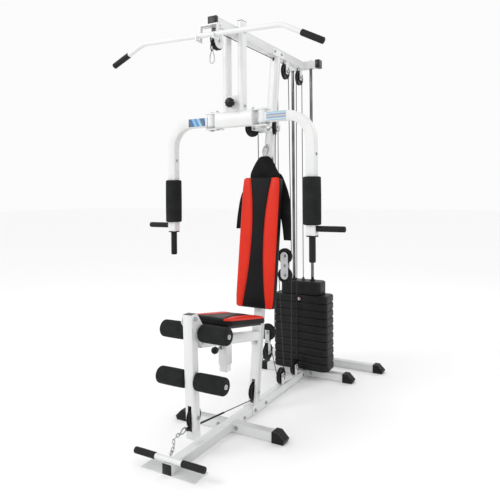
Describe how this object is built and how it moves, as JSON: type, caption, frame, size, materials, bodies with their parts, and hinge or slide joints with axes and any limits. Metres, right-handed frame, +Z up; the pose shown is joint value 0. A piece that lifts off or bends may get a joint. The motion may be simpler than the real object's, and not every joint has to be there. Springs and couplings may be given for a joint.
{
  "type": "multi station home gym",
  "caption": "Multi station home gym with a weight stack, press and butterfly arms, leg developer, padded seat and back, lat bar and low bar.",
  "frame": {"origin": "on the floor, midway between the machine's left and right ends and between its front and rear ends", "axes": "+Z up; -Y is the front, the way the user faces; +X is to the right of someone who looks at the machine from the front (the user's left)"},
  "size_m": [1.2366, 1.787, 2.135],
  "materials": {
    "white_paint": "semi-gloss powder coat",
    "plate_shell": "satin",
    "chrome": "polished",
    "zinc": "zinc plated",
    "red_vinyl": "semi-gloss",
    "black_vinyl": "semi-gloss",
    "black_foam": "matte",
    "black_rubber": "matte",
    "black_plastic": "satin",
    "black_fabric": "matte",
    "black_board": "matte",
    "cable_jacket": "satin",
    "label": "gloss"
  },
  "bodies": {
    "frame": {"base_frame": "white_paint", "rear_stabilizer": "white_paint", "upright": "white_paint", "top_beam": "white_paint", "guide_rod_left": "chrome", "guide_rod_right": "chrome", "seat_support": "white_paint", "back_board": "black_board", "back_pad": "red_vinyl", "butterfly_pulley_bracket": "white_paint", "ab_strap": "black_fabric", "lat_hook": "chrome", "press_axle": "zinc", "leg_pivot_pin": "zinc", "top_roller_bar": "white_paint", "lat_cable": "cable_jacket", "main_cable": "cable_jacket", "butterfly_cable": "cable_jacket", "stack_cable": "cable_jacket", "leg_cable": "cable_jacket", "weight_plates": "plate_shell"},
    "seat": {"seat_post": "black_plastic", "seat_pad": "red_vinyl"},
    "seat_pin": {"seat_pin": "black_plastic"},
    "lat_bar": {"lat_bar": "white_paint"},
    "press_frame": {"press_frame": "white_paint", "hinge_pin_left": "zinc", "hinge_pin_right": "zinc"},
    "lock_knob": {"lock_knob": "black_plastic"},
    "arm_left": {"butterfly_arm_left": "white_paint", "arm_pad_left": "black_foam", "arm_grip_left": "black_rubber", "side_handle_left": "black_rubber"},
    "arm_right": {"butterfly_arm_right": "white_paint", "arm_pad_right": "black_foam", "arm_grip_right": "black_rubber", "side_handle_right": "black_rubber"},
    "leg_developer": {"leg_arm": "white_paint", "bottom_roller_bar": "white_paint"},
    "top_roller_left": {"top_roller_left": "black_foam"},
    "top_roller_right": {"top_roller_right": "black_foam"},
    "bottom_roller_left": {"bottom_roller_left": "black_foam"},
    "bottom_roller_right": {"bottom_roller_right": "black_foam"},
    "low_bar_link": {"low_bar_carabiner": "zinc"},
    "low_bar": {"low_bar": "white_paint", "low_bar_chain": "zinc"},
    "weight_stack": {"top_weight_plate": "plate_shell", "head_plate": "plate_shell"},
    "selector_pin": {"selector_pin": "chrome"},
    "pulley_block_upper": {"pulley_block_upper": "zinc"},
    "pulley_block_lower": {"pulley_block_lower": "zinc"},
    "top_front_pulley": {"top_front_pulley": "black_plastic"},
    "top_rear_pulley_1": {"top_rear_pulley_1": "black_plastic"},
    "top_rear_pulley_2": {"top_rear_pulley_2": "black_plastic"},
    "base_pulley_1": {"base_pulley_1": "black_plastic"},
    "base_pulley_2": {"base_pulley_2": "black_plastic"},
    "upright_low_pulley": {"upright_low_pulley": "black_plastic"},
    "leg_pulley": {"leg_pulley": "black_plastic"},
    "swivel_pulley_left": {"swivel_pulley_left": "black_plastic"},
    "swivel_pulley_right": {"swivel_pulley_right": "black_plastic"}
  },
  "joints": [
    {"name": "press_swing", "type": "hinge", "parent": "frame", "child": "press_frame", "pos_m": [0, -0.2965, 2.087], "axis": [1, 0, 0], "range_deg": [-35, 0]},
    {"name": "arm_swing_left", "type": "hinge", "parent": "press_frame", "child": "arm_left", "pos_m": [-0.16, -0.2755, 1.623], "axis": [0, 0, 1], "range_deg": [0, 80]},
    {"name": "arm_swing_right", "type": "hinge", "parent": "press_frame", "child": "arm_right", "pos_m": [0.16, -0.2755, 1.623], "axis": [0, 0, 1], "range_deg": [-80, 0]},
    {"name": "leg_swing", "type": "hinge", "parent": "frame", "child": "leg_developer", "pos_m": [0, -0.7165, 0.648], "axis": [1, 0, 0], "range_deg": [-85, 0], "deforming": ["leg_cable"]},
    {"name": "weight_stack_lift", "type": "slide", "parent": "frame", "child": "weight_stack", "axis": [0, 0, 1], "range_m": [0, 0.8], "deforming": ["stack_cable"]},
    {"name": "selector_pin_pull", "type": "slide", "parent": "weight_stack", "child": "selector_pin", "axis": [0, -1, 0], "range_m": [0, 0.018]},
    {"name": "seat_height", "type": "slide", "parent": "frame", "child": "seat", "axis": [0, 0, 1], "range_m": [0, 0.08]},
    {"name": "seat_pin_pull", "type": "slide", "parent": "frame", "child": "seat_pin", "axis": [0, -1, 0], "range_m": [0, 0.01], "stiffness_N_per_m": 300},
    {"name": "lock_knob_pull", "type": "slide", "parent": "press_frame", "child": "lock_knob", "axis": [0, -1, 0], "range_m": [0, 0.02], "stiffness_N_per_m": 300},
    {"name": "lat_bar_lift", "type": "slide", "parent": "frame", "child": "lat_bar", "axis": [0, 0, 1], "range_m": [0, 0.03]},
    {"name": "upper_block_lift", "type": "slide", "parent": "frame", "child": "pulley_block_upper", "axis": [0, 0, 1], "range_m": [0, 0.4], "deforming": ["lat_cable", "main_cable"]},
    {"name": "lower_block_lift", "type": "slide", "parent": "frame", "child": "pulley_block_lower", "axis": [0, 0, 1], "range_m": [0, 0.25], "deforming": ["butterfly_cable"]},
    {"name": "low_bar_hang", "type": "hinge", "parent": "leg_developer", "child": "low_bar_link", "pos_m": [0, -0.745, 0.145], "axis": [1, 0, 0], "range_deg": [0, 85]},
    {"name": "low_bar_pull", "type": "slide", "parent": "low_bar_link", "child": "low_bar", "axis": [0, -0.9936, 0.113], "range_m": [0, 0.15]},
    {"name": "top_front_pulley_spin", "type": "hinge", "parent": "frame", "child": "top_front_pulley", "pos_m": [0, -0.4685, 2], "axis": [1, 0, 0], "continuous": true},
    {"name": "top_rear_pulley_1_spin", "type": "hinge", "parent": "frame", "child": "top_rear_pulley_1", "pos_m": [0, 0.3215, 2], "axis": [1, 0, 0], "continuous": true},
    {"name": "top_rear_pulley_2_spin", "type": "hinge", "parent": "frame", "child": "top_rear_pulley_2", "pos_m": [0, 0.5321, 2], "axis": [1, 0, 0], "continuous": true},
    {"name": "base_pulley_1_spin", "type": "hinge", "parent": "frame", "child": "base_pulley_1", "pos_m": [0, 0.2265, 0.1025], "axis": [1, 0, 0], "continuous": true},
    {"name": "base_pulley_2_spin", "type": "hinge", "parent": "frame", "child": "base_pulley_2", "pos_m": [0, 0.4215, 0.1025], "axis": [1, 0, 0], "continuous": true},
    {"name": "upright_low_pulley_spin", "type": "hinge", "parent": "frame", "child": "upright_low_pulley", "pos_m": [0, -0.116, 0.118], "axis": [1, 0, 0], "continuous": true},
    {"name": "leg_pulley_spin", "type": "hinge", "parent": "leg_developer", "child": "leg_pulley", "pos_m": [0, -0.6905, 0.183], "axis": [1, 0, 0], "continuous": true},
    {"name": "swivel_pulley_left_spin", "type": "hinge", "parent": "frame", "child": "swivel_pulley_left", "pos_m": [-0.0735, 0.0199, 1.612], "axis": [-0.9368, 0.3499, 0], "continuous": true},
    {"name": "swivel_pulley_right_spin", "type": "hinge", "parent": "frame", "child": "swivel_pulley_right", "pos_m": [0.0735, 0.0199, 1.612], "axis": [0.9368, 0.3499, 0], "continuous": true},
    {"name": "top_roller_left_spin", "type": "hinge", "parent": "frame", "child": "top_roller_left", "pos_m": [-0.118, -0.6715, 0.574], "axis": [1, 0, 0], "continuous": true},
    {"name": "top_roller_right_spin", "type": "hinge", "parent": "frame", "child": "top_roller_right", "pos_m": [0.118, -0.6715, 0.574], "axis": [1, 0, 0], "continuous": true},
    {"name": "bottom_roller_left_spin", "type": "hinge", "parent": "leg_developer", "child": "bottom_roller_left", "pos_m": [-0.11675, -0.7035, 0.357], "axis": [1, 0, 0], "continuous": true},
    {"name": "bottom_roller_right_spin", "type": "hinge", "parent": "leg_developer", "child": "bottom_roller_right", "pos_m": [0.11675, -0.7035, 0.357], "axis": [1, 0, 0], "continuous": true}
  ],
  "couplings": [
    {"joint": "upper_block_lift", "follows": "weight_stack_lift", "ratio": 0.5},
    {"joint": "low_bar_hang", "follows": "leg_swing", "ratio": -1}
  ]
}
